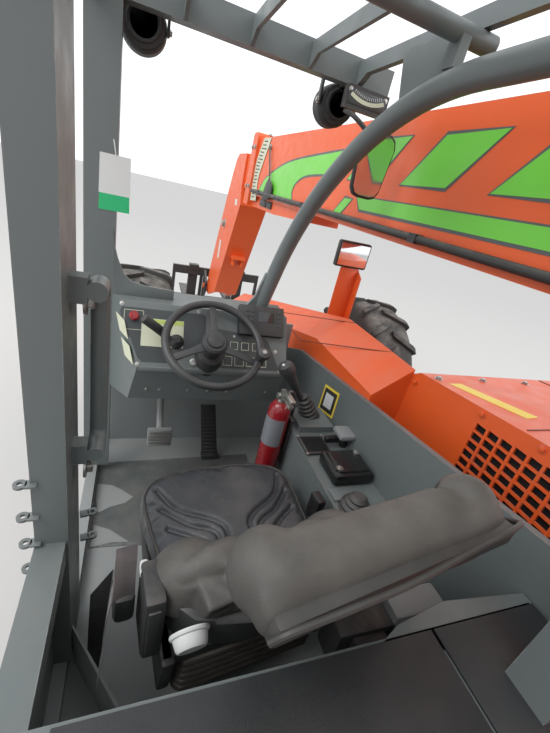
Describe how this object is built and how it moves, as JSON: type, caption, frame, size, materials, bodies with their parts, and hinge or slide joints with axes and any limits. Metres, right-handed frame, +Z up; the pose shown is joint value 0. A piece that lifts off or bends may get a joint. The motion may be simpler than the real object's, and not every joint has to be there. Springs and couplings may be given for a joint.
{
  "type": "rough-terrain telehandler",
  "caption": "Rough-terrain telehandler with an open cab, a telescopic boom with a gooseneck head, pallet forks, side engine pod and steered wheels on both axles.",
  "frame": {"origin": "on the ground under the middle of the overall box, forks included", "axes": "+X to the driver's right, +Y forward along the boom, +Z up"},
  "size_m": [2.5, 8.26, 2.5606],
  "materials": {
    "orange_paint": "gloss orange paint, sun-faded on top",
    "frame_paint": "dusty dark grey paint",
    "cab_paint": "satin dark grey paint, worn at edges",
    "black_paint": "satin black paint",
    "rod_chrome": "polished hard chrome",
    "rim_paint": "pale wheel paint, dusty",
    "tyre_rubber": "dusty black rubber",
    "black_plastic": "moulded grained plastic",
    "seat_vinyl": "grained vinyl, worn",
    "seat_frame": "dusty black suspension bellows and steel",
    "red_paint": "gloss red enamel"
  },
  "bodies": {
    "chassis": {"axles": "frame_paint", "cab_floor": "cab_paint", "cab_frame": "cab_paint", "cab_wall": "cab_paint", "console": "black_plastic", "counterweight": "orange_paint", "dash": "cab_paint", "deck": "orange_paint", "engine": "black_paint", "engine_hood": "orange_paint", "extinguisher": "red_paint", "frame_ends": "frame_paint", "frame_left": "frame_paint", "frame_right": "frame_paint", "frame_ties": "frame_paint", "grab_handle": "cab_paint", "joystick": "black_plastic", "mirrors": "black_plastic", "pedals": "black_plastic", "rear_shelf": "cab_paint", "seat_back": "seat_vinyl", "seat_base": "seat_frame", "seat_cushion": "seat_vinyl", "side_beams": "frame_paint", "slope_gauge": "cab_paint", "steering_column": "black_plastic", "step": "cab_paint", "tank": "black_paint", "work_lights": "black_plastic"},
    "boom": {"boom_outer": "orange_paint", "boom_pipe": "black_paint"},
    "telescope": {"boom_inner": "orange_paint", "boom_head": "orange_paint"},
    "fork_carriage": {"carriage": "black_paint", "forks": "black_paint"},
    "lift_cylinder": {"lift_barrel": "black_paint"},
    "lift_piston": {"lift_rod": "rod_chrome"},
    "tilt_cylinder": {"tilt_barrel": "black_paint"},
    "tilt_piston": {"tilt_rod": "rod_chrome"},
    "hand_wheel": {"steering_wheel": "black_plastic"},
    "steered_front_left": {"knuckle_front_left": "frame_paint"},
    "wheel_front_left": {"rim_front_left": "rim_paint", "tyre_front_left": "tyre_rubber"},
    "steered_front_right": {"knuckle_front_right": "frame_paint"},
    "wheel_front_right": {"rim_front_right": "rim_paint", "tyre_front_right": "tyre_rubber"},
    "steered_rear_left": {"knuckle_rear_left": "frame_paint"},
    "wheel_rear_left": {"rim_rear_left": "rim_paint", "tyre_rear_left": "tyre_rubber"},
    "steered_rear_right": {"knuckle_rear_right": "frame_paint"},
    "wheel_rear_right": {"rim_rear_right": "rim_paint", "tyre_rear_right": "tyre_rubber"}
  },
  "joints": [
    {"name": "boom_lift", "type": "hinge", "parent": "chassis", "child": "boom", "pos_m": [0, -3.875, 2.24], "axis": [1, 0, 0], "range_deg": [0, 62]},
    {"name": "boom_extend", "type": "slide", "parent": "boom", "child": "telescope", "axis": [0, 1, 0], "range_m": [0, 3]},
    {"name": "carriage_tilt", "type": "hinge", "parent": "telescope", "child": "fork_carriage", "pos_m": [0, 2.84, 0.73], "axis": [1, 0, 0], "range_deg": [-15, 20]},
    {"name": "lift_cylinder_swing", "type": "hinge", "parent": "chassis", "child": "lift_cylinder", "pos_m": [0, -3.775, 1.09], "axis": [1, 0, 0], "range_deg": [-1, 23]},
    {"name": "lift_piston_slide", "type": "slide", "parent": "lift_cylinder", "child": "lift_piston", "axis": [0, 0.6493, 0.7606], "range_m": [-0.005, 0.755]},
    {"name": "tilt_cylinder_swing", "type": "hinge", "parent": "telescope", "child": "tilt_cylinder", "pos_m": [0, 2.33, 1.63], "axis": [1, 0, 0], "range_deg": [-7, 6]},
    {"name": "tilt_piston_slide", "type": "slide", "parent": "tilt_cylinder", "child": "tilt_piston", "axis": [0, 0.598, -0.8015], "range_m": [-0.042, 0.032]},
    {"name": "steering", "type": "hinge", "parent": "chassis", "child": "steered_front_left", "pos_m": [-0.7, 0.65, 0.69], "axis": [0, 0, 1], "range_deg": [-35, 35]},
    {"name": "steering_front_right", "type": "hinge", "parent": "chassis", "child": "steered_front_right", "pos_m": [0.7, 0.65, 0.69], "axis": [0, 0, 1], "range_deg": [-36, 36]},
    {"name": "steering_rear_left", "type": "hinge", "parent": "chassis", "child": "steered_rear_left", "pos_m": [-0.7, -2.75, 0.69], "axis": [0, 0, 1], "range_deg": [-36, 36]},
    {"name": "steering_rear_right", "type": "hinge", "parent": "chassis", "child": "steered_rear_right", "pos_m": [0.7, -2.75, 0.69], "axis": [0, 0, 1], "range_deg": [-36, 36]},
    {"name": "hand_wheel_turn", "type": "hinge", "parent": "chassis", "child": "hand_wheel", "pos_m": [-0.79, -1.02, 1.56], "axis": [0, -0.5736, 0.8191], "range_deg": [-540, 540]},
    {"name": "spin_front_left", "type": "hinge", "parent": "steered_front_left", "child": "wheel_front_left", "pos_m": [-0.7, 0.65, 0.69], "axis": [1, 0, 0], "continuous": true},
    {"name": "spin_front_right", "type": "hinge", "parent": "steered_front_right", "child": "wheel_front_right", "pos_m": [0.7, 0.65, 0.69], "axis": [1, 0, 0], "continuous": true},
    {"name": "spin_rear_left", "type": "hinge", "parent": "steered_rear_left", "child": "wheel_rear_left", "pos_m": [-0.7, -2.75, 0.69], "axis": [1, 0, 0], "continuous": true},
    {"name": "spin_rear_right", "type": "hinge", "parent": "steered_rear_right", "child": "wheel_rear_right", "pos_m": [0.7, -2.75, 0.69], "axis": [1, 0, 0], "continuous": true}
  ],
  "couplings": [
    {"joint": "lift_cylinder_swing", "follows": "boom_lift", "ratio": 0.3463},
    {"joint": "lift_piston_slide", "follows": "boom_lift", "m_per_rad": 0.6935},
    {"joint": "tilt_cylinder_swing", "follows": "carriage_tilt", "ratio": -0.3053},
    {"joint": "tilt_piston_slide", "follows": "carriage_tilt", "m_per_rad": -0.111},
    {"joint": "steering_front_right", "follows": "steering", "ratio": 1},
    {"joint": "steering_rear_left", "follows": "steering", "ratio": -1},
    {"joint": "steering_rear_right", "follows": "steering", "ratio": -1},
    {"joint": "hand_wheel_turn", "follows": "steering", "ratio": 15}
  ]
}
